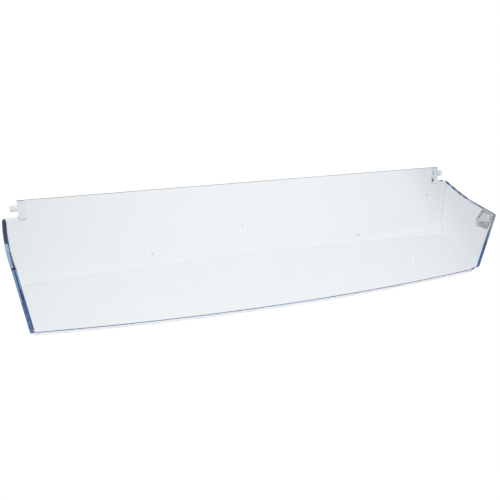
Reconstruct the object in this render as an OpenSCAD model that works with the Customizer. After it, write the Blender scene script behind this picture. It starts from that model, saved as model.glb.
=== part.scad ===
// Hinged lid of a refrigerator butter compartment, one clear injection moulding.
// It rests on the outside of its front panel, open side towards -Y and up.
// X runs along the lid, Y from the free front edge to the hinge edge, Z up.
// The origin is the middle of the lid's depth, on the surface that it rests on.

/* [Moulding] */
// Length over the end walls, at the bend
lid_l = 417.6; // [320:1:520]
// Thickness of the panels and the end walls
wall = 3.4; // [2:0.1:4.5]
// Inside radius where the front panel meets the end walls
fillet_r = 3; // [1.5:0.5:5]
// Inside radius where the hinge panel meets the end walls
corner_r = 1; // [0.5:0.1:5]
// Inside radius of the bend between the two panels, in its middle
bend_r = 0.8; // [0.5:0.1:2]

/* [Panels] */
// Inside angle between the hinge panel and the front panel
panel_angle = 112; // [100:1:125]
// Height of the hinge panel, from the bend to the hinge edge
hinge_panel_h = 65.7; // [62:0.1:90]
// Depth of the front panel in the middle, from the bend to the front edge
front_panel_d = 78.6; // [76:0.1:100]
// How far the middle of the front edge stands forward of its two ends
front_bow = 10.3; // [2:0.1:14]
// Width of the flat at each end of the bend, measured along either panel
bend_flat = 7.4; // [3:0.1:12]

/* [End walls] */
// Outward lean of the end walls
end_lean = 5.7; // [2:0.1:9]
// Narrowing of the lid in front of the bend, on each side
end_taper = 3.1; // [0:0.1:6]
// Radius of the gentle outward curve of the end walls, seen from above
end_curve_r = 590; // [400:10:2000]
// Height of the level part of the rim
rim_h = 50.3; // [44:0.1:54]
// Distance of the tip from the bend
tip_d = 65; // [60:0.1:80]
// Height of the tip
tip_h = 61.2; // [58:0.1:70]
// Slope of the rim where it rises to the tip
rim_rise = 12.4; // [9:0.1:20]
// Radius that joins the level rim to the rising rim
rim_r = 230; // [60:10:300]
// Radius of the tip
tip_r = 1.2; // [0.5:0.1:4]
// Lean of the front edge of each end wall
edge_lean = 9.8; // [4:0.2:14]
// Height at which the front edge turns back towards the front panel
toe_h = 9.8; // [7:0.1:16]
// How far the front edge turns back there
toe_d = 9.2; // [5:0.1:12]
// Radius where the front edge turns back
toe_r = 4; // [1:0.5:6]

/* [Hinge] */
// Distance of the outer face of each hinge lug in from the end of the lid, at the bend
lug_inset = 7.5; // [5:0.1:30]
// Width of a hinge lug
lug_w = 5.8; // [4:0.1:9]
// Height of a hinge lug, along the hinge panel
lug_h = 16.5; // [14:0.5:22]
// Thickness of a hinge lug
lug_t = 6.6; // [6:0.1:10]
// Length of the slope at the foot of a hinge lug
lug_foot = 2.4; // [1:0.1:4]
// Diameter of a hinge pin
pin_d = 5; // [3:0.1:5.6]
// Length of a hinge pin
pin_l = 6; // [4:0.1:9]
// Distance of the pin's axis below the hinge edge
pin_drop = 6.2; // [4:0.1:8]
// Chamfer at the end of a hinge pin
pin_chamfer = 0.5; // [0.2:0.1:0.9]
// Radius at the foot of the notch beside a lug
notch_r = 1.8; // [0.5:0.1:3]

/* [Stop boss] */
// Width of the boss on the right end wall, along its upper edge
boss_w = 16.4; // [12:0.2:20]
// Height of the boss at its front
boss_h = 14.4; // [10:0.2:18]
// How far the rear of the boss slants back towards its foot
boss_flare = 3.2; // [0:0.2:6]
// Slope of the foot of the boss, down towards the rear
boss_slope = 19.5; // [8:0.5:25]
// How far the boss stands out of the wall
boss_t = 4; // [1:0.1:6]
// Width of the sloping border round the face of the boss
boss_border = 2; // [1:0.1:3]
// Gap between the boss and the rim above it
boss_inset = 2.4; // [1:0.1:4]
// Radius of the lower corners of the boss
boss_r = 4; // [3.2:0.1:4.6]
// Radius of the upper corners of the boss
boss_top_r = 1.5; // [0.5:0.1:3]

/* [Hidden] */

// Steps in each computed arc
ARC_STEPS = 10;
// Share of a side that the arc at one of its ends may take
SIDE_SHARE = 0.9;
// Facets of the balls that round the inside corners
BALL_FN = 32;
// Stations on each half of the bend, and along each end wall
BEND_STEPS = 5;
END_STEPS = 7;
// How far cutting bodies and the open side reach past the moulding
REACH = 40;
// How far joined bodies run into each other
BITE = 0.5;

lean_back = panel_angle - 90;
up_panel = [sin(lean_back), cos(lean_back)];
off_panel = [-cos(lean_back), sin(lean_back)];
bend_inner = [0, wall];

// Widening of the lid for each millimetre of height
widen = tan(end_lean);

// Length over the outer faces of the two hinge lugs
hinge_l = lid_l - 2 * lug_inset;

// The lid's depth runs from the hinge edge to the middle of the front edge
back_y = hinge_panel_h * up_panel[0] - wall * off_panel[0];
centre_y = (back_y - front_panel_d) / 2;

// Circle of the front edge, through its middle and its two ends
bow_chord = lid_l / 2 - wall - fillet_r;
bow_r = (bow_chord * bow_chord + front_bow * front_bow) / (2 * front_bow);

// Half of the length over the end walls at depth y and height z
function half_length(y, z) = lid_l / 2 + y * tan(end_taper) - y * y / (2 * end_curve_r) + z * widen;

function unit(v) = v / norm(v);

// Points of the arc that rounds the corner at b, between a and c, no larger than its sides can take
function corner(a, b, c, r_wanted) =
    let (u = unit(a - b), v = unit(c - b), half = acos(u * v) / 2)
    let (r = min(r_wanted, SIDE_SHARE * min(norm(a - b), norm(c - b)) * tan(half)))
    let (centre = b + unit(u + v) * r / sin(half))
    let (start = b + u * r / tan(half) - centre, end = b + v * r / tan(half) - centre)
    [for (i = [0:ARC_STEPS]) centre + r * unit(start + (end - start) * i / ARC_STEPS)];

// An outline whose corners are given as [point, radius]
function rounded(corners) =
    let (n = len(corners))
    [for (i = [0:n - 1])
        each corners[i][1] == 0
            ? [corners[i][0]]
            : corner(corners[(i + n - 1) % n][0], corners[i][0], corners[(i + 1) % n][0], corners[i][1])];

// Point at a height along the hinge panel and a distance off its inner face
function on_hinge_panel(height, off) = bend_inner + up_panel * height + off_panel * off;

// Point at a depth along the front panel and a distance off its inner face
function on_front_panel(depth, off) = bend_inner + [-depth, off];

// Side views are drawn as [y, z] and extruded along X, from one X to another
module along_x(from_x, to_x) {
    translate([from_x, 0, 0])
        rotate([90, 0, 90])
            linear_extrude(height = to_x - from_x)
                children();
}

// A ball of the given radius, at a share of the way from the middle to an end wall
module ball(share, place, inner_r, grow) {
    x = half_length(place[0], place[1]) - (wall + inner_r) / cos(end_lean);
    translate([share * x, place[0], place[1]])
        sphere(r = (inner_r + grow) / cos(180 / BALL_FN), $fn = BALL_FN);
}

// The tray as one closed body: its inside with grow = 0, its outside with grow = wall
module tray_form(grow) {
    half_bend = (180 - panel_angle) / 2;
    depth_end = front_panel_d + REACH;
    height_end = hinge_panel_h + REACH;
    hull() {
        for (i = [-BEND_STEPS:BEND_STEPS]) {
            share = i / BEND_STEPS;
            at_end = abs(i) == BEND_STEPS;
            back_r = at_end ? corner_r : bend_r;
            front_r = at_end ? fillet_r : bend_r;
            flat = bend_r * tan(half_bend) + (bend_flat - bend_r * tan(half_bend)) * share * share;
            ball(share, on_hinge_panel(flat, back_r), back_r, grow);
            ball(share, on_front_panel(flat, front_r), front_r, grow);
        }
        for (side = [-1, 1]) {
            ball(side, on_hinge_panel(height_end, corner_r), corner_r, grow);
            for (i = [1:END_STEPS]) {
                depth = bend_flat + (depth_end - bend_flat) * i / END_STEPS;
                ball(side, on_front_panel(depth, fillet_r), fillet_r, grow);
            }
            for (i = [-2:END_STEPS]) {
                depth = depth_end * i / END_STEPS;
                ball(side, on_front_panel(depth, height_end), fillet_r, grow);
            }
        }
    }
}

// Side view of the end walls: level rim, rise to the tip, front edge and turned-back toe
module end_wall_side() {
    knee_y = -tip_d + (tip_h - rim_h) / tan(rim_rise);
    toe_y = -tip_d - (tip_h - toe_h) * tan(edge_lean);
    polygon(rounded([
        [[2 * REACH, rim_h], 0],
        [[knee_y, rim_h], rim_r],
        [[-tip_d, tip_h], tip_r],
        [[toe_y, toe_h], toe_r],
        [[toe_y + toe_d, 0], 0],
        [[2 * REACH, 0], 0],
    ]));
}

// Side view of the hinge panel, cut square at the hinge edge
module hinge_panel_side() {
    polygon([
        on_hinge_panel(0, REACH / 2),
        on_hinge_panel(hinge_panel_h, REACH / 2),
        on_hinge_panel(hinge_panel_h, -REACH / 2),
        on_hinge_panel(0, -REACH / 2),
    ]);
}

// Front view of the hinge panel, drawn as [x, z]: it stands up between the two notches
module hinge_panel_front() {
    top = rim_h + hinge_panel_h;
    shoulder_x = hinge_l / 2 + notch_r + BITE;
    polygon(rounded([
        [[-shoulder_x, 0], 0],
        [[shoulder_x, 0], 0],
        [[shoulder_x, rim_h], 0],
        [[hinge_l / 2, rim_h], notch_r],
        [[hinge_l / 2, top], 0],
        [[-hinge_l / 2, top], 0],
        [[-hinge_l / 2, rim_h], notch_r],
        [[-shoulder_x, rim_h], 0],
    ]));
}

// Everything behind the bowed front edge, to just above the inside of the front panel
module front_panel_plan() {
    translate([0, bow_r - front_panel_d, 0])
        cylinder(r = bow_r, h = wall + BITE, $fn = 720);
}

// The walls of the tray, trimmed to the rim, the hinge edge and the front edge
module tray() {
    reach_x = lid_l / 2 + REACH;
    intersection() {
        difference() {
            tray_form(wall);
            tray_form(0);
        }
        union() {
            along_x(-reach_x, reach_x) end_wall_side();
            intersection() {
                along_x(-reach_x, reach_x) hinge_panel_side();
                translate([0, REACH + back_y, 0])
                    rotate([90, 0, 0])
                        linear_extrude(height = REACH + 2 * back_y)
                            hinge_panel_front();
            }
            front_panel_plan();
        }
    }
}

// One hinge lug with its pin, at the +X end of the hinge edge
module hinge_lug() {
    foot = hinge_panel_h - lug_h;
    proud = lug_t - wall;
    axis = on_hinge_panel(hinge_panel_h - pin_drop, lug_t / 2 - wall);
    along_x(hinge_l / 2 - lug_w, hinge_l / 2)
        polygon([
            on_hinge_panel(hinge_panel_h, -wall),
            on_hinge_panel(hinge_panel_h, proud),
            on_hinge_panel(foot + lug_foot, proud),
            on_hinge_panel(foot, 0),
            on_hinge_panel(foot, -wall),
        ]);
    translate([hinge_l / 2 - BITE, axis[0], axis[1]])
        rotate([0, 90, 0]) {
            cylinder(d = pin_d, h = pin_l + BITE - pin_chamfer, $fn = 48);
            translate([0, 0, pin_l + BITE - pin_chamfer])
                cylinder(d1 = pin_d, d2 = pin_d - 2 * pin_chamfer, h = pin_chamfer, $fn = 48);
        }
}

// Outline of the boss as [y, z], drawn in from the foot of its sloping border
module boss_outline(inset) {
    front = -tip_d + boss_inset;
    top = tip_h - boss_inset;
    drop = boss_w * tan(rim_rise);
    lean = boss_h * tan(edge_lean);
    foot_drop = (boss_w + boss_flare + lean) * tan(boss_slope);
    r = boss_r - inset;
    polygon(rounded([
        [[front + boss_w - inset, top - drop - inset], boss_top_r],
        [[front + inset, top - inset], boss_top_r],
        [[front - lean + inset, top - boss_h + inset], r],
        [[front + boss_w + boss_flare - inset, top - boss_h - foot_drop + inset], r],
    ]));
}

// The boss, with sloping sides, on the outside of the right end wall
module stop_boss() {
    y = -tip_d + boss_inset + boss_w / 2;
    z = tip_h - boss_inset - (boss_h + boss_w * tan(rim_rise)) / 2;
    turn = atan(tan(end_taper) - y / end_curve_r);
    translate([half_length(y, z), y, z])
        rotate([0, end_lean, -turn])
            translate([0, -y, -z])
                hull() {
                    along_x(-wall / 2, 0) boss_outline(0);
                    along_x(boss_t - BITE, boss_t) boss_outline(boss_border);
                }
}

module lid() {
    color([0.86, 0.93, 0.97, 0.6])
        translate([0, -centre_y, 0]) {
            tray();
            hinge_lug();
            mirror([1, 0, 0]) hinge_lug();
            stop_boss();
        }
}

lid();
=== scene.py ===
"""The clear moulded lid of a refrigerator butter compartment, lying on its front panel on a white floor.

Lengths are in metres, written as millimetres times MM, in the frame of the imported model: +X along the lid,
+Y from the bowed front edge to the hinge edge, +Z up from the surface that the lid lies on.
"""

import math

import bmesh
import bpy
from mathutils import Matrix, Vector


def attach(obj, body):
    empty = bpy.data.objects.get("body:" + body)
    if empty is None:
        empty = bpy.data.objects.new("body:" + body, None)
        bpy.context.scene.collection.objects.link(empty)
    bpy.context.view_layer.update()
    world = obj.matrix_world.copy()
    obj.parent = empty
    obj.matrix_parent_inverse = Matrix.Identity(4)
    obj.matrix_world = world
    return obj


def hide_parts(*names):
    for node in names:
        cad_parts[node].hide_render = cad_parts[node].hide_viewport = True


MM = 0.001

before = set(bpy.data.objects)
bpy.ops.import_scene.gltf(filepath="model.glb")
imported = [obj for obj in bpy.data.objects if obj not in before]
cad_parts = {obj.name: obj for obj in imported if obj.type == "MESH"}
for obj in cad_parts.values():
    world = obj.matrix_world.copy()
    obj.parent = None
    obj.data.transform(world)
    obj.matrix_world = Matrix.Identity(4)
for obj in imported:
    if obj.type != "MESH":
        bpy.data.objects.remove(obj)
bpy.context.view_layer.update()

# Moulding
LID_L = 417.6 * MM          # length over the end walls, at the bend
WALL = 3.4 * MM             # thickness of the panels and the end walls
FILLET_R = 1 * MM           # inside radius where the front panel meets the end walls
CORNER_R = 1 * MM           # inside radius where the hinge panel meets the end walls
BEND_R = 0.8 * MM           # inside radius of the bend, in its middle
ARRIS_BEVEL = 0.25 * MM     # on every arris

# Panels
PANEL_ANGLE = math.radians(112)
HINGE_PANEL_H = 65.7 * MM   # from the bend to the hinge edge
FRONT_PANEL_D = 78.6 * MM   # from the bend to the front edge, in the middle
FRONT_BOW = 10.3 * MM       # how far the middle of the front edge stands forward of its ends
BEND_FLAT = 7.4 * MM        # width of the flat at each end of the bend, along either panel
BEND_ENDS = 0.2             # share of half the bend in which its radius grows to those of the corners
FRONT_EDGE_R = 0.8 * MM     # round under the front edge
FRONT_TRIM = 0.06 * MM      # keeps this smoother bow inside the solid's

# End walls
END_LEAN = math.radians(5.7)
END_TAPER = math.radians(3.1)
END_CURVE_R = 590 * MM      # gentle outward curve, seen from above
RIM_H = 50.3 * MM           # height of the level part of the rim
TIP_D = 65 * MM             # from the bend forward to the tip
TIP_H = 61.2 * MM           # height of the tip
RIM_RISE = math.radians(12.4)
RIM_R = 230 * MM            # where the rim starts to rise
TIP_R = 1.2 * MM
EDGE_LEAN = math.radians(9.8)   # of the front edge, forward from the tip down
TOE_H = 9.8 * MM            # height below which the front edge turns back
TOE_D = 9.2 * MM            # how far it turns back
TOE_R = 4 * MM

# Hinge lugs and pins
HINGE_L = LID_L - 15 * MM   # over the outer faces of the two lugs
LUG_W = 5.8 * MM            # along the hinge edge
LUG_H = 16.5 * MM           # from the hinge edge down
LUG_T = 6.6 * MM            # thickness with the panel's
LUG_FOOT = 2.4 * MM         # height of the slope at its foot
PIN_D = 5 * MM
PIN_L = 6 * MM
PIN_DROP = 6.2 * MM         # from the hinge edge down to the middle of the pin
PIN_CHAMFER = 0.5 * MM
NOTCH_R = 1.8 * MM

# Boss on the right end wall
BOSS_W = 16.4 * MM          # along its upper edge
BOSS_H = 14.4 * MM          # at its front
BOSS_FLARE = 3.2 * MM       # how far its rear slants back towards its foot
BOSS_SLOPE = math.radians(19.5)     # of its lower edge, down towards the rear
BOSS_T = 4 * MM             # how far it stands proud of the wall
BOSS_BORDER = 2 * MM        # width of the slope round its face
BOSS_FRONT_MORE = 2 * MM    # how much wider the slope is at its front
BOSS_FOOT_MORE = 4 * MM     # and at its foot
BOSS_INSET = 2.4 * MM       # from the rim and the front edge of the wall
BOSS_R = 4 * MM             # lower corners
BOSS_TOP_R = 1.5 * MM

# Surface of the plastic
STYRENE_IOR = 1.57
DEEP_BLUE = "#B2D7F0"       # what light turns to far inside
DEEP_DENSITY = 40.0         # how soon, per metre
GLOSS_ROUGH = 0.02          # polished panels
EDGE_ROUGH = 0.45           # satin front edge
EDGE_CLEAR = 0.15           # share of the light that still passes it
ARRIS_W = 0.6 * MM          # glossy strip along its top
BOSS_ROUGH = 0.3            # frosted boss
BOSS_TINT = "#FFF3E4"
BOSS_SIDE_SATIN = 0.6       # how satin the slopes of the boss are
END_EDGE_D = 8 * MM         # how far behind the tip the front edge of an end wall reaches
LEFT_FROST = 0.6            # how frosted that edge is at the left
LEFT_FROST_H = 36 * MM      # and up to which height
SPECK_GREY = "#A6ACB4"
SPECKS = (                  # middle and size of each dark speck in the hinge panel
    ((-94.3 * MM, 28.8 * MM, 11.7 * MM), 1.2 * MM),
    ((-9.0 * MM, 35.2 * MM, 27.7 * MM), 0.8 * MM),
    ((111.7 * MM, 27.2 * MM, 7.7 * MM), 1.1 * MM),
    ((190.3 * MM, 39.7 * MM, 38.8 * MM), 1.1 * MM),
)

# Faint marks where the melt flowed back from the front edge: narrow along the lid, long the other ways
FLOW_SCALE = (1 / (14 * MM), 1 / (70 * MM), 1 / (70 * MM))
FLOW_DETAIL = 3.0
FLOW_RANGE = (0.35, 0.65)
FLOW_TINT = "#FDFEFE"

# How finely the round shapes are cut
ARC_STEPS = 24
BALL_SEGMENTS = 64
BEND_STATIONS = 20          # balls along each half of the bend
END_STATIONS = 28           # balls along the foot of each end wall
REACH = 40 * MM             # how far cutting bodies reach past the moulding
BITE = 0.5 * MM             # how far bodies that are joined or cut overlap

# How the finished mesh is cleaned and divided
WELD = 0.002 * MM           # points closer than this are one
FLAT_TURN = math.radians(0.2)   # faces that turn by less are one flat
SOFT_TURN = math.radians(22)    # edges that turn by less are shaded smooth
ARRIS_TURN = math.radians(30)   # edges that turn by more are arrises
TILE = 14 * MM              # the flats are cut into tiles of about this size
TILE_SHIFT = 0.137          # share of a tile by which the cuts miss the corners of the shape
CUT_NEAR = 0.0005 * MM      # a point this close to a cut lies on it

# How the faces of the duller places are told apart
SQUARE_ON = 0.9             # share of the normal along an axis, for a face that looks squarely along it
PARTLY_ON = 0.3             # the same for a face that looks partly along it
PROUD = 0.3 * MM            # a face that stands out this far from the end wall is on the boss

# Floor, with the painted pool of light and painted shade that the plastic shows in its glow
FLOOR_HALF = 6              # half of its side
FLOOR_GAP = 0.5 * MM        # below the lid, so that air lies between them
# The strip of light and the shades below are painted into the floor's glow, which only the plastic shows
POOL_SLANT = 0.3            # how far the strip of light slants to the right as it runs back
POOL_HALF = 625 * MM        # from its middle to where it would have faded to nothing
POOL_POWER = 2.2            # how late it fades
POOL_LEAST = 0.7            # light of the floor outside the strip
# Painted shade in that glow, beyond the right end of the lid
SHADE = (185 * MM, 250 * MM)    # a shade that begins beyond the right end of the lid
SHADE_DEPTH = 0.14          # how much light it takes away
# Painted shade in the mirrored floor's glow, far behind the lid
FAR_PAINTED_SHADE = (180 * MM, 330 * MM)    # where the mirrored floor darkens behind the lid
FAR_LIGHT = 0.15            # and the light that is left there
SEEN_LIGHT = 1.05           # strength of the plain white that the camera sees
SEEN_SHARE = 0.88           # its share, beside the matt paint that takes the shadow

# Strengths of the surroundings, and the directions that they lie in: x right, y away from the camera, z up
CAMERA_SIDE = 0.35          # the room on the camera's side
BACKDROP = 0.6
SIDE_TURN = (-0.6, 0.5)     # y over which the camera's side turns into the backdrop
CEILING = 0.55
CEILING_TURN = (0.6, 0.85)  # z over which the room turns into the ceiling
SOFTBOX = 1.8               # one at the left and one at the right
SOFTBOX_TURN = (0.72, 0.82)     # x over which they begin, to either side
SOFTBOX_FOOT = 0.1          # z of their lower edge
KEY = 3.4                   # the key lamp
KEY_BEHIND = -0.3           # y below which the key lamp lies, behind the camera
KEY_LEFT = -0.12            # x below which it lies
KEY_HEIGHT = 0.6            # z of its middle
KEY_SPREAD = 0.22           # and half of its height
BOUNCES = 64                # light runs through the end walls lengthwise many times

# Camera, fitted to the measured edges of the photograph
LENS = 44.54
CLIP = (0.01, 50)
CAMERA_AT = (-184.68 * MM, -417.76 * MM, 330.23 * MM)
HEADING = math.radians(22.2957)
LOOK_DOWN = math.radians(34.0876)
ROLL = math.radians(6.2866)

LEAN_BACK = PANEL_ANGLE - math.pi / 2
UP_PANEL = Vector((math.sin(LEAN_BACK), math.cos(LEAN_BACK)))
OFF_PANEL = Vector((-math.cos(LEAN_BACK), math.sin(LEAN_BACK)))
BEND_INNER = Vector((0, WALL))
BACK_Y = HINGE_PANEL_H * UP_PANEL[0] - WALL * OFF_PANEL[0]
CENTRE_Y = (BACK_Y - FRONT_PANEL_D) / 2
BOW_CHORD = LID_L / 2 - WALL - FILLET_R
BOW_R = (BOW_CHORD ** 2 + FRONT_BOW ** 2) / (2 * FRONT_BOW)


def half_length(y, z):
    """Half of the length over the end walls, at depth y from the bend and height z."""
    return LID_L / 2 + y * math.tan(END_TAPER) - y * y / (2 * END_CURVE_R) + z * math.tan(END_LEAN)


def on_hinge_panel(height, off):
    """The point at that height along the hinge panel from the bend, and that far off its inside."""
    return BEND_INNER + UP_PANEL * height + OFF_PANEL * off


def on_front_panel(depth, off):
    """The point at that depth along the front panel from the bend, and that far off its inside."""
    return BEND_INNER + Vector((-depth, off))


def rounded(corners):
    """An outline from [point, radius] corners, with an arc of that radius at each corner that has one."""
    outline = []
    for i, (point, radius) in enumerate(corners):
        b = Vector(point)
        if not radius:
            outline.append(b)
            continue
        u = (Vector(corners[i - 1][0]) - b).normalized()
        v = (Vector(corners[(i + 1) % len(corners)][0]) - b).normalized()
        half = u.angle(v) / 2
        centre = b + (u + v).normalized() * radius / math.sin(half)
        start = b + u * radius / math.tan(half) - centre
        end = b + v * radius / math.tan(half) - centre
        for k in range(ARC_STEPS + 1):
            outline.append(centre + (start + (end - start) * k / ARC_STEPS).normalized() * radius)
    return outline


def new_object(name, bm):
    """A mesh object from bm, with its faces outwards."""
    bmesh.ops.recalc_face_normals(bm, faces=bm.faces)
    mesh = bpy.data.meshes.new(name)
    bm.to_mesh(mesh)
    bm.free()
    piece = bpy.data.objects.new(name, mesh)
    bpy.context.scene.collection.objects.link(piece)
    return piece


def loft(name, rings):
    """A closed body through rings of points, each with the same number of points."""
    bm = bmesh.new()
    loops = [[bm.verts.new(p) for p in ring] for ring in rings]
    bm.faces.new(loops[0])
    bm.faces.new(loops[-1])
    for near, far in zip(loops, loops[1:]):
        for i in range(len(near)):
            k = (i + 1) % len(near)
            bm.faces.new((near[i], near[k], far[k], far[i]))
    return new_object(name, bm)


def prism(name, outline, place, low, high):
    """The outline pushed from low to high, where place(u, v, w) gives a point in space."""
    return loft(name, [[place(p[0], p[1], w) for p in outline] for w in (low, high)])


def along_x(name, outline, low, high):
    """A side view pushed along the lid from low to high."""
    return prism(name, outline, lambda y, z, x: (x, y, z), low, high)


def ball_places():
    """Centre and radius of each ball that rolls round the inside of the tray."""
    balls = []

    def add(share, place, radius):
        x = half_length(place[0], place[1]) - (WALL + radius) / math.cos(END_LEAN)
        balls.append(((share * x, place[0], place[1]), radius))

    flat_least = BEND_R * math.tan((math.pi - PANEL_ANGLE) / 2)
    for i in range(-BEND_STATIONS, BEND_STATIONS + 1):
        share = i / BEND_STATIONS
        widened = max(0.0, abs(share) - (1 - BEND_ENDS)) / BEND_ENDS
        back_r = BEND_R + (CORNER_R - BEND_R) * widened
        front_r = BEND_R + (FILLET_R - BEND_R) * widened
        flat = flat_least + (BEND_FLAT - flat_least) * share * share
        add(share, on_hinge_panel(flat, back_r), back_r)
        add(share, on_front_panel(flat, front_r), front_r)
    depth_end = FRONT_PANEL_D + REACH
    height_end = HINGE_PANEL_H + REACH
    for side in (-1, 1):
        add(side, on_hinge_panel(height_end, CORNER_R), CORNER_R)
        for i in range(1, END_STATIONS + 1):
            depth = BEND_FLAT + (depth_end - BEND_FLAT) * i / END_STATIONS
            add(side, on_front_panel(depth, FILLET_R), FILLET_R)
        for i in range(-END_STATIONS // 4, END_STATIONS + 1):
            add(side, on_front_panel(depth_end * i / END_STATIONS, height_end), FILLET_R)
    return balls


def stations():
    """The ball centres as loose points that carry their radius."""
    balls = ball_places()
    mesh = bpy.data.meshes.new("stations")
    mesh.from_pydata([centre for centre, _ in balls], [], [])
    mesh.attributes.new("radius", "FLOAT", "POINT").data.foreach_set("value", [r for _, r in balls])
    piece = bpy.data.objects.new("lid_clear", mesh)
    bpy.context.scene.collection.objects.link(piece)
    return piece


def side_outline():
    """Side view of the end walls: level rim, rise to the tip, front edge and turned-back toe."""
    knee_y = -TIP_D + (TIP_H - RIM_H) / math.tan(RIM_RISE)
    toe_y = -TIP_D - (TIP_H - TOE_H) * math.tan(EDGE_LEAN)
    toe_end = toe_y + TOE_D * (TOE_H + BITE) / TOE_H
    return rounded([
        ((2 * REACH, RIM_H), 0),
        ((knee_y, RIM_H), RIM_R),
        ((-TIP_D, TIP_H), TIP_R),
        ((toe_y, TOE_H), TOE_R),
        ((toe_end, -BITE), 0),
        ((2 * REACH, -BITE), 0),
    ])


def hinge_panel_side():
    """Side view of the room that the hinge panel is kept in, up to the hinge edge."""
    corners = [(0, REACH), (HINGE_PANEL_H, REACH), (HINGE_PANEL_H, -REACH), (0, -REACH)]
    return [on_hinge_panel(*c) for c in corners]


def hinge_panel_front():
    """Front view of the hinge panel, which stands up between the two notches."""
    top = RIM_H + HINGE_PANEL_H
    shoulder = HINGE_L / 2 + NOTCH_R + BITE
    return rounded([
        ((-shoulder, BITE), 0),
        ((shoulder, BITE), 0),
        ((shoulder, RIM_H), 0),
        ((HINGE_L / 2, RIM_H), NOTCH_R),
        ((HINGE_L / 2, top), 0),
        ((-HINGE_L / 2, top), 0),
        ((-HINGE_L / 2, RIM_H), NOTCH_R),
        ((-shoulder, RIM_H), 0),
    ])


def front_panel_block():
    """The front panel's outline in plan, with its bowed front edge, which is rounded underneath."""
    reach_x = LID_L / 2 + REACH
    steps = 8 * ARC_STEPS
    xs = [reach_x * (2 * i / steps - 1) for i in range(steps + 1)]
    levels = [(-BITE, FRONT_EDGE_R)]
    for i in range(ARC_STEPS // 2 + 1):
        turn = math.pi * i / ARC_STEPS
        levels.append((FRONT_EDGE_R * (1 - math.cos(turn)), FRONT_EDGE_R * (1 - math.sin(turn))))
    levels.append((WALL + BITE, 0))
    rings = []
    for z, inset in levels:
        middle = BOW_R - FRONT_PANEL_D + FRONT_TRIM + inset
        ring = [(x, middle - math.sqrt(BOW_R ** 2 - x * x), z) for x in xs]
        rings.append(ring + [(reach_x, REACH, z), (-reach_x, REACH, z)])
    return loft("front_panel_block", rings)


def lug_side():
    """Side view of a hinge lug, which slopes back into the panel at its foot."""
    foot = HINGE_PANEL_H - LUG_H
    proud = LUG_T - WALL
    corners = [(HINGE_PANEL_H, -WALL), (HINGE_PANEL_H, proud), (foot + LUG_FOOT, proud), (foot, 0),
               (foot, -WALL)]
    return [on_hinge_panel(*c) for c in corners]


def pin(side):
    """A round hinge pin with a chamfered end, from inside the lug outwards."""
    axis = on_hinge_panel(HINGE_PANEL_H - PIN_DROP, LUG_T / 2 - WALL)
    start = HINGE_L / 2 - BITE
    end = HINGE_L / 2 + PIN_L
    turns = [2 * math.pi * i / BALL_SEGMENTS for i in range(BALL_SEGMENTS)]
    rings = []
    for x, r in ((start, PIN_D / 2), (end - PIN_CHAMFER, PIN_D / 2), (end, PIN_D / 2 - PIN_CHAMFER)):
        rings.append([(side * x, axis[0] + r * math.cos(a), axis[1] + r * math.sin(a)) for a in turns])
    return loft("hinge_pin", rings)


def boss_outline(inset, front_more=0, foot_more=0):
    """The boss seen from the side, drawn in by inset, and by more at its front and foot."""
    front = -TIP_D + BOSS_INSET
    top = TIP_H - BOSS_INSET
    drop = BOSS_W * math.tan(RIM_RISE)
    lean = BOSS_H * math.tan(EDGE_LEAN)
    foot_drop = (BOSS_W + BOSS_FLARE + lean) * math.tan(BOSS_SLOPE)
    r = BOSS_R - inset
    return rounded([
        ((front + BOSS_W - inset, top - drop - inset), BOSS_TOP_R),
        ((front + inset + front_more, top - inset), BOSS_TOP_R),
        ((front - lean + inset + front_more, top - BOSS_H + inset + foot_more), r),
        ((front + BOSS_W + BOSS_FLARE - inset, top - BOSS_H - foot_drop + inset + foot_more), r),
    ])


def boss():
    """The boss, with sloping sides, on the outside of the right end wall."""
    y = -TIP_D + BOSS_INSET + BOSS_W / 2
    z = TIP_H - BOSS_INSET - (BOSS_H + BOSS_W * math.tan(RIM_RISE)) / 2
    turn = math.atan(math.tan(END_TAPER) - y / END_CURVE_R)
    bm = bmesh.new()
    foot = boss_outline(0)
    face = boss_outline(BOSS_BORDER, BOSS_FRONT_MORE, BOSS_FOOT_MORE)
    for x, outline in ((-WALL / 2, foot), (0, foot), (BOSS_T - BITE, face), (BOSS_T, face)):
        for p in outline:
            bm.verts.new((x, p[0] - y, p[1] - z))
    made = bmesh.ops.convex_hull(bm, input=bm.verts)
    bmesh.ops.delete(bm, geom=made["geom_interior"], context="VERTS")
    lean = Matrix.Rotation(END_LEAN, 4, "Y")
    place = Matrix.Translation((half_length(y, z), y, z))
    bm.transform(place @ Matrix.Rotation(-turn, 4, "Z") @ lean)
    return new_object("boss", bm)


def node(tree, kind, links=(), **settings):
    """One node in tree. links pairs an input's name or index with a socket or a value."""
    made = tree.nodes.new(kind)
    for key, value in settings.items():
        setattr(made, key, value)
    for key, value in links:
        if isinstance(value, bpy.types.NodeSocket):
            tree.links.new(value, made.inputs[key])
        else:
            made.inputs[key].default_value = value
    return made


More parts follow.
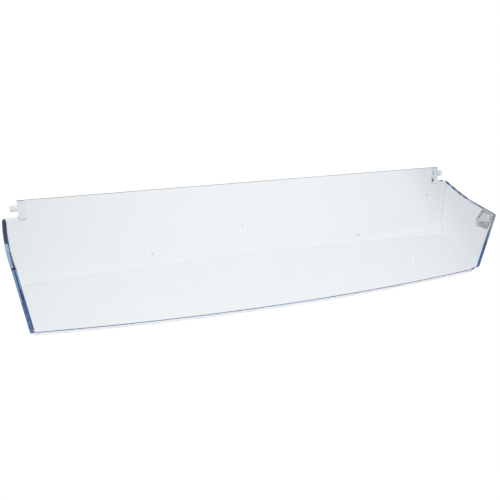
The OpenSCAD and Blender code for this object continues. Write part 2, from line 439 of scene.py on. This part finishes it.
def tray_tree():
    """Rolls balls round the tray: their hull is its inside, and the thickened balls' hull its outside."""
    tree = bpy.data.node_groups.new("Rolled tray", "GeometryNodeTree")
    face = tree.interface
    face.new_socket("Stations", in_out="INPUT", socket_type="NodeSocketGeometry")
    for name, kind in (("Wall", "NodeSocketFloat"), ("Ball segments", "NodeSocketInt"),
                       ("Trim", "NodeSocketCollection"), ("Added", "NodeSocketCollection"),
                       ("Material", "NodeSocketMaterial")):
        face.new_socket(name, in_out="INPUT", socket_type=kind)
    face.new_socket("Lid", in_out="OUTPUT", socket_type="NodeSocketGeometry")
    given = node(tree, "NodeGroupInput").outputs
    radius = node(tree, "GeometryNodeInputNamedAttribute", [("Name", "radius")], data_type="FLOAT").outputs[0]
    segments = given["Ball segments"]
    rings = node(tree, "ShaderNodeMath", [(0, segments), (1, 2.0)], operation="DIVIDE").outputs[0]
    sphere = node(tree, "GeometryNodeMeshUVSphere",
                  [("Segments", segments), ("Rings", rings), ("Radius", 1.0)]).outputs[0]
    thick = node(tree, "ShaderNodeMath", [(0, radius), (1, given["Wall"])], operation="ADD").outputs[0]
    forms = []
    for size in (thick, radius):
        balls = node(tree, "GeometryNodeInstanceOnPoints",
                     [("Points", given["Stations"]), ("Instance", sphere), ("Scale", size)]).outputs[0]
        solid = node(tree, "GeometryNodeRealizeInstances", [(0, balls)]).outputs[0]
        forms.append(node(tree, "GeometryNodeConvexHull", [(0, solid)]).outputs[0])
    shell = node(tree, "GeometryNodeMeshBoolean", [(0, forms[0]), (1, forms[1])],
                 operation="DIFFERENCE", solver="MANIFOLD").outputs[0]
    trim = node(tree, "GeometryNodeCollectionInfo", [(0, given["Trim"]), (1, True)]).outputs[0]
    trims = node(tree, "GeometryNodeMeshBoolean", [(1, trim)],
                 operation="UNION", solver="MANIFOLD").outputs[0]
    tray = node(tree, "GeometryNodeMeshBoolean", operation="INTERSECT", solver="MANIFOLD")
    tree.links.new(shell, tray.inputs[1])
    tree.links.new(trims, tray.inputs[1])
    added = node(tree, "GeometryNodeCollectionInfo", [(0, given["Added"]), (1, True)]).outputs[0]
    whole = node(tree, "GeometryNodeMeshBoolean", operation="UNION", solver="MANIFOLD")
    tree.links.new(added, whole.inputs[1])
    tree.links.new(tray.outputs[0], whole.inputs[1])
    real = node(tree, "GeometryNodeRealizeInstances", [(0, whole.outputs[0])]).outputs[0]
    finished = node(tree, "GeometryNodeSetMaterial", [(0, real), ("Material", given["Material"])]).outputs[0]
    node(tree, "NodeGroupOutput", [(0, finished)])
    return tree


def srgb(text):
    """A hex colour as Blender's linear values."""
    values = [int(text[i:i + 2], 16) / 255 for i in (1, 3, 5)]
    return tuple(v / 12.92 if v <= 0.04045 else ((v + 0.055) / 1.055) ** 2.4 for v in values) + (1.0,)


def clear_styrene():
    """Styrene moulded in a polished tool: clear and glossy, and blue where light runs far inside it.

    The front edge, the front edges of the end walls and the boss come from duller parts of the tool, which
    two attributes mark. The hinge panel shows dark specks, and all of it faint flow marks.
    """
    material = bpy.data.materials.new("moulded_clear_styrene")
    material.use_nodes = True
    tree = material.node_tree
    tree.nodes.clear()
    place = node(tree, "ShaderNodeTexCoord").outputs["Object"]
    height = node(tree, "ShaderNodeSeparateXYZ", [(0, place)]).outputs["Z"]
    arris = node(tree, "ShaderNodeMath", [(0, height), (1, WALL), (2, ARRIS_W)],
                 operation="COMPARE").outputs[0]
    below = node(tree, "ShaderNodeMath", [(0, 1.0), (1, arris)], operation="SUBTRACT").outputs[0]
    edge = node(tree, "ShaderNodeAttribute", attribute_name="satin_edge").outputs["Fac"]
    satin = node(tree, "ShaderNodeMath", [(0, edge), (1, below)], operation="MULTIPLY").outputs[0]
    frosted = node(tree, "ShaderNodeAttribute", attribute_name="frosted").outputs["Fac"]
    specks = 1.0
    for spot, size in SPECKS:
        near = node(tree, "ShaderNodeVectorMath", [(0, place), (1, spot)],
                    operation="DISTANCE").outputs["Value"]
        beside = node(tree, "ShaderNodeMapRange",
                      [("Value", near), ("From Min", 0.5 * size), ("From Max", size)],
                      interpolation_type="SMOOTHSTEP").outputs[0]
        specks = node(tree, "ShaderNodeMath", [(0, beside), (1, specks)], operation="MULTIPLY").outputs[0]
    stretched = node(tree, "ShaderNodeVectorMath", [(0, place), (1, FLOW_SCALE)],
                     operation="MULTIPLY").outputs[0]
    noise = node(tree, "ShaderNodeTexNoise",
                 [("Vector", stretched), ("Scale", 1.0), ("Detail", FLOW_DETAIL)]).outputs[0]
    flow = node(tree, "ShaderNodeMapRange",
                [("Value", noise), ("From Min", FLOW_RANGE[0]), ("From Max", FLOW_RANGE[1])]).outputs[0]
    clear = node(tree, "ShaderNodeMix", [("Factor", flow), (6, srgb("#FFFFFF")), (7, srgb(FLOW_TINT))],
                 data_type="RGBA").outputs[2]
    warm = node(tree, "ShaderNodeMix", [("Factor", frosted), (6, clear), (7, srgb(BOSS_TINT))],
                data_type="RGBA").outputs[2]
    tint = node(tree, "ShaderNodeMix", [("Factor", specks), (6, srgb(SPECK_GREY)), (7, warm)],
                data_type="RGBA").outputs[2]
    dull = node(tree, "ShaderNodeMath", [(0, satin), (1, EDGE_ROUGH - GLOSS_ROUGH), (2, GLOSS_ROUGH)],
                operation="MULTIPLY_ADD").outputs[0]
    rough = node(tree, "ShaderNodeMath", [(0, frosted), (1, BOSS_ROUGH - GLOSS_ROUGH), (2, dull)],
                 operation="MULTIPLY_ADD").outputs[0]
    clearness = node(tree, "ShaderNodeMath", [(0, satin), (1, EDGE_CLEAR - 1), (2, 1.0)],
                     operation="MULTIPLY_ADD").outputs[0]
    surface = node(tree, "ShaderNodeBsdfPrincipled", [
        ("Base Color", tint), ("Roughness", rough), ("IOR", STYRENE_IOR), ("Transmission Weight", clearness)])
    depth = node(tree, "ShaderNodeVolumeAbsorption", [("Color", srgb(DEEP_BLUE)), ("Density", DEEP_DENSITY)])
    node(tree, "ShaderNodeOutputMaterial", [("Surface", surface.outputs[0]), ("Volume", depth.outputs[0])])
    return material


def in_collection(name, objects):
    """A collection of the objects, for a modifier to read."""
    group = bpy.data.collections.new(name)
    for o in objects:
        group.objects.link(o)
    return group


def plain_mesh(piece):
    """Turns the piece and its modifiers into a plain mesh."""
    bpy.context.view_layer.update()
    finished = bpy.data.meshes.new_from_object(piece.evaluated_get(bpy.context.evaluated_depsgraph_get()))
    piece.modifiers.clear()
    piece.data = finished


def split_flats(mesh):
    """Splits the long flats into short triangles: light bends wrongly at slivers as long as the lid."""
    bm = bmesh.new()
    bm.from_mesh(mesh)
    for axis in range(3):
        places = [v.co[axis] for v in bm.verts]
        low = min(places)
        high = max(places)
        count = max(1, round((high - low) / TILE))
        for i in range(1, count):
            place = Vector()
            across = Vector()
            place[axis] = low + (high - low) * (i + TILE_SHIFT) / count
            across[axis] = 1
            bmesh.ops.bisect_plane(bm, geom=bm.verts[:] + bm.edges[:] + bm.faces[:], dist=CUT_NEAR,
                                   plane_co=place, plane_no=across)
    bmesh.ops.triangulate(bm, faces=bm.faces, quad_method="BEAUTY", ngon_method="BEAUTY")
    bm.to_mesh(mesh)
    bm.free()


def mark_finishes(mesh):
    """Marks the satin and the frosted faces, by where they stand and which way they face.

    Satin are the front edge and, less so, the slopes of the boss. Frosted are the boss and the front edges of
    the end walls, of which the left one is so only in its lower part.
    """
    edge = mesh.attributes.new("satin_edge", "FLOAT", "CORNER")
    frosted = mesh.attributes.new("frosted", "FLOAT", "CORNER")
    satin_share = [0.0] * len(mesh.loops)
    frosted_share = [0.0] * len(mesh.loops)
    for face in mesh.polygons:
        x, y, z = face.center
        y += CENTRE_Y
        on_boss = y < 0 and x - half_length(y, z) > PROUD
        on_edge = face.normal.y < -SQUARE_ON and z < WALL and abs(x) < BOW_CHORD
        on_slope = on_boss and face.normal.x < SQUARE_ON
        frost = 1.0 if on_boss else 0.0
        if not on_boss and face.normal.y < -PARTLY_ON and y < END_EDGE_D - TIP_D and z > WALL:
            frost = 1.0 if x > 0 else LEFT_FROST * (z < LEFT_FROST_H)
        for i in face.loop_indices:
            satin_share[i] = 1.0 if on_edge else BOSS_SIDE_SATIN * on_slope
            frosted_share[i] = frost
    edge.data.foreach_set("value", satin_share)
    frosted.data.foreach_set("value", frosted_share)


def rolled_lid():
    """The moulding as one solid: the rolled tray, trimmed to its outlines, with the lugs, pins and boss."""
    reach_x = LID_L / 2 + REACH
    side = along_x("side", side_outline(), -reach_x, reach_x)
    slab = along_x("hinge_slab", hinge_panel_side(), -reach_x, reach_x)
    front = prism("hinge_front", hinge_panel_front(), lambda x, z, y: (x, y, z), -REACH, REACH + BACK_Y)
    plan = front_panel_block()
    both = slab.modifiers.new("both", "BOOLEAN")
    both.operation = "INTERSECT"
    both.solver = "MANIFOLD"
    both.object = front
    lug_ends = (HINGE_L / 2 - LUG_W, HINGE_L / 2)
    lugs = [along_x("lug", lug_side(), *sorted((s * lug_ends[0], s * lug_ends[1]))) for s in (-1, 1)]
    added = lugs + [pin(-1), pin(1), boss()]
    trims = [side, slab, plan]

    piece = stations()
    tree = tray_tree()
    roll = piece.modifiers.new("roll", "NODES")
    roll.node_group = tree
    values = {"Wall": WALL, "Ball segments": BALL_SEGMENTS, "Trim": in_collection("trim", trims),
              "Added": in_collection("added", added), "Material": clear_styrene()}
    for item in tree.interface.items_tree:
        if item.name in values and item.in_out == "INPUT":
            roll[item.identifier] = values[item.name]
    plain_mesh(piece)
    for o in trims + added + [front]:
        bpy.data.objects.remove(o)
    return piece


def make_lid():
    """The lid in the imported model's frame, with bevelled arrises, short triangles and marked finishes."""
    piece = rolled_lid()
    solid = piece.data
    bm = bmesh.new()
    bm.from_mesh(solid)
    bmesh.ops.translate(bm, vec=(0, -CENTRE_Y, 0), verts=bm.verts)
    bmesh.ops.remove_doubles(bm, verts=bm.verts, dist=WELD)
    bmesh.ops.dissolve_limit(bm, angle_limit=FLAT_TURN, verts=bm.verts, edges=bm.edges)
    bm.to_mesh(solid)
    bm.free()
    solid.shade_smooth()
    solid.set_sharp_from_angle(angle=SOFT_TURN)
    edge = piece.modifiers.new("edge", "BEVEL")
    edge.limit_method = "ANGLE"
    edge.angle_limit = ARRIS_TURN
    edge.width = ARRIS_BEVEL
    edge.segments = 2
    edge.use_clamp_overlap = False
    plain_mesh(piece)
    split_flats(piece.data)
    weigh = piece.modifiers.new("weigh", "WEIGHTED_NORMAL")
    weigh.keep_sharp = True
    plain_mesh(piece)
    mark_finishes(piece.data)
    return piece


def make_floor():
    """Board painted matt white with a roller: even, without gloss, and plain white but for the lid's shadow.

    For rays from the plastic, the floor glows with a painted pool of light: a strip that slants back to the
    right and fades to its sides, a painted shade beyond the right end, and, where it is mirrored, painted
    shade on the floor behind.
    """
    bm = bmesh.new()
    bmesh.ops.create_grid(bm, x_segments=1, y_segments=1, size=FLOOR_HALF)
    floor = new_object("studio_floor", bm)
    material = bpy.data.materials.new("matt_white_painted_board")
    material.use_nodes = True
    tree = material.node_tree
    tree.nodes.clear()
    rays = node(tree, "ShaderNodeLightPath").outputs
    seen = rays["Is Camera Ray"]
    through = rays["Is Transmission Ray"]
    place = node(tree, "ShaderNodeTexCoord").outputs["Object"]
    x, y, _ = node(tree, "ShaderNodeSeparateXYZ", [(0, place)]).outputs
    # Painted pool of light: a slanting strip of glow that fades to its sides
    across = node(tree, "ShaderNodeMath", [(0, y), (1, -POOL_SLANT), (2, x)],
                  operation="MULTIPLY_ADD").outputs[0]
    off_middle = node(tree, "ShaderNodeMath", [(0, across)], operation="ABSOLUTE").outputs[0]
    spread = node(tree, "ShaderNodeMath", [(0, off_middle), (1, POOL_HALF)], operation="DIVIDE").outputs[0]
    fallen = node(tree, "ShaderNodeMath", [(0, spread), (1, POOL_POWER)], operation="POWER").outputs[0]
    pool = node(tree, "ShaderNodeMath", [(0, 1.0), (1, fallen)], operation="SUBTRACT").outputs[0]
    # Painted shade beyond the right end of the lid
    shade = node(tree, "ShaderNodeMapRange",
                 [("Value", across), ("From Min", SHADE[0]), ("From Max", SHADE[1]), ("To Max", SHADE_DEPTH)],
                 interpolation_type="SMOOTHSTEP").outputs[0]
    shaded = node(tree, "ShaderNodeMath", [(0, pool), (1, shade)], operation="SUBTRACT").outputs[0]
    lit = node(tree, "ShaderNodeMath", [(0, shaded), (1, POOL_LEAST)], operation="MAXIMUM").outputs[0]
    # Painted shade on the floor far behind the lid, where the plastic mirrors it
    far = node(tree, "ShaderNodeMapRange",
               [("Value", y), ("From Min", FAR_PAINTED_SHADE[0]), ("From Max", FAR_PAINTED_SHADE[1]),
                ("To Min", 1.0), ("To Max", FAR_LIGHT)]).outputs[0]
    mirrored = node(tree, "ShaderNodeMix", [("Factor", through), ("A", far), ("B", 1.0)]).outputs[0]
    shown = node(tree, "ShaderNodeMath", [(0, lit), (1, mirrored)], operation="MULTIPLY").outputs[0]
    plain = node(tree, "ShaderNodeMath", [(0, seen), (1, SEEN_LIGHT)], operation="MULTIPLY").outputs[0]
    strength = node(tree, "ShaderNodeMath", [(0, shown), (1, plain)], operation="MAXIMUM").outputs[0]
    in_plastic = node(tree, "ShaderNodeMath", [(0, through), (1, rays["Is Glossy Ray"])],
                      operation="MAXIMUM").outputs[0]
    in_camera = node(tree, "ShaderNodeMath", [(0, seen), (1, SEEN_SHARE)], operation="MULTIPLY").outputs[0]
    share = node(tree, "ShaderNodeMath", [(0, in_plastic), (1, in_camera)], operation="MAXIMUM").outputs[0]
    matt = node(tree, "ShaderNodeBsdfDiffuse", [("Color", srgb("#FFFFFF"))])
    white = node(tree, "ShaderNodeEmission", [("Color", srgb("#FFFFFF")), ("Strength", strength)])
    mixed = node(tree, "ShaderNodeMixShader", [(0, share), (1, matt.outputs[0]), (2, white.outputs[0])])
    node(tree, "ShaderNodeOutputMaterial", [("Surface", mixed.outputs[0])])
    floor.data.materials.append(material)
    floor.location.z = -FLOOR_GAP


def make_camera():
    """The camera at the photograph's viewing angle."""
    data = bpy.data.cameras.new("camera")
    data.lens = LENS
    data.clip_start, data.clip_end = CLIP
    camera = bpy.data.objects.new("camera", data)
    bpy.context.scene.collection.objects.link(camera)
    tilt = Matrix.Rotation(math.pi / 2 - LOOK_DOWN, 4, "X") @ Matrix.Rotation(ROLL, 4, "Z")
    camera.matrix_world = Matrix.Translation(CAMERA_AT) @ Matrix.Rotation(-HEADING, 4, "Z") @ tilt
    bpy.context.scene.camera = camera


def make_light():
    """A studio with a bright ceiling, a pale backdrop, a darker side behind the camera and three lamps.

    Two softboxes stand at the left and right, and a key lamp behind the camera, to its left.
    """
    world = bpy.data.worlds.new("studio")
    world.use_nodes = True
    tree = world.node_tree
    tree.nodes.clear()
    direction = node(tree, "ShaderNodeTexCoord").outputs["Generated"]
    x, y, z = node(tree, "ShaderNodeSeparateXYZ", [(0, direction)]).outputs
    side = node(tree, "ShaderNodeMapRange",
                [("Value", y), ("From Min", SIDE_TURN[0]), ("From Max", SIDE_TURN[1]),
                 ("To Min", CAMERA_SIDE), ("To Max", BACKDROP)],
                interpolation_type="SMOOTHSTEP").outputs[0]
    above = node(tree, "ShaderNodeMapRange",
                 [("Value", z), ("From Min", CEILING_TURN[0]), ("From Max", CEILING_TURN[1])],
                 interpolation_type="SMOOTHSTEP").outputs[0]
    room = node(tree, "ShaderNodeMix", [("Factor", above), ("A", side), ("B", CEILING)]).outputs[0]
    sideways = node(tree, "ShaderNodeMath", [(0, x)], operation="ABSOLUTE").outputs[0]
    boxes = node(tree, "ShaderNodeMapRange",
                 [("Value", sideways), ("From Min", SOFTBOX_TURN[0]), ("From Max", SOFTBOX_TURN[1]),
                  ("To Max", SOFTBOX)],
                 interpolation_type="SMOOTHSTEP").outputs[0]
    raised = node(tree, "ShaderNodeMath", [(0, z), (1, SOFTBOX_FOOT)], operation="GREATER_THAN").outputs[0]
    softboxes = node(tree, "ShaderNodeMath", [(0, boxes), (1, raised)], operation="MULTIPLY").outputs[0]
    behind = node(tree, "ShaderNodeMath", [(0, y), (1, KEY_BEHIND)], operation="LESS_THAN").outputs[0]
    leftward = node(tree, "ShaderNodeMath", [(0, x), (1, KEY_LEFT)], operation="LESS_THAN").outputs[0]
    key_side = node(tree, "ShaderNodeMath", [(0, behind), (1, leftward)], operation="MULTIPLY").outputs[0]
    key_height = node(tree, "ShaderNodeMath", [(0, z), (1, KEY_HEIGHT), (2, KEY_SPREAD)],
                      operation="COMPARE").outputs[0]
    key_shape = node(tree, "ShaderNodeMath", [(0, key_side), (1, key_height)],
                     operation="MULTIPLY").outputs[0]
    key = node(tree, "ShaderNodeMath", [(0, key_shape), (1, KEY)], operation="MULTIPLY").outputs[0]
    lamps = node(tree, "ShaderNodeMath", [(0, softboxes), (1, key)], operation="MAXIMUM").outputs[0]
    light = node(tree, "ShaderNodeMath", [(0, room), (1, lamps)], operation="MAXIMUM").outputs[0]
    back = node(tree, "ShaderNodeBackground", [("Color", srgb("#FFFFFF")), ("Strength", light)])
    node(tree, "ShaderNodeOutputWorld", [("Surface", back.outputs[0])])
    bpy.context.scene.world = world


lid = make_lid()
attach(lid, "root")
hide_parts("lid")

make_floor()
make_camera()
make_light()
bpy.context.scene.view_settings.view_transform = "Standard"
bpy.context.scene.cycles.max_bounces = BOUNCES
bpy.context.scene.cycles.transmission_bounces = BOUNCES
bpy.context.scene.cycles.glossy_bounces = BOUNCES
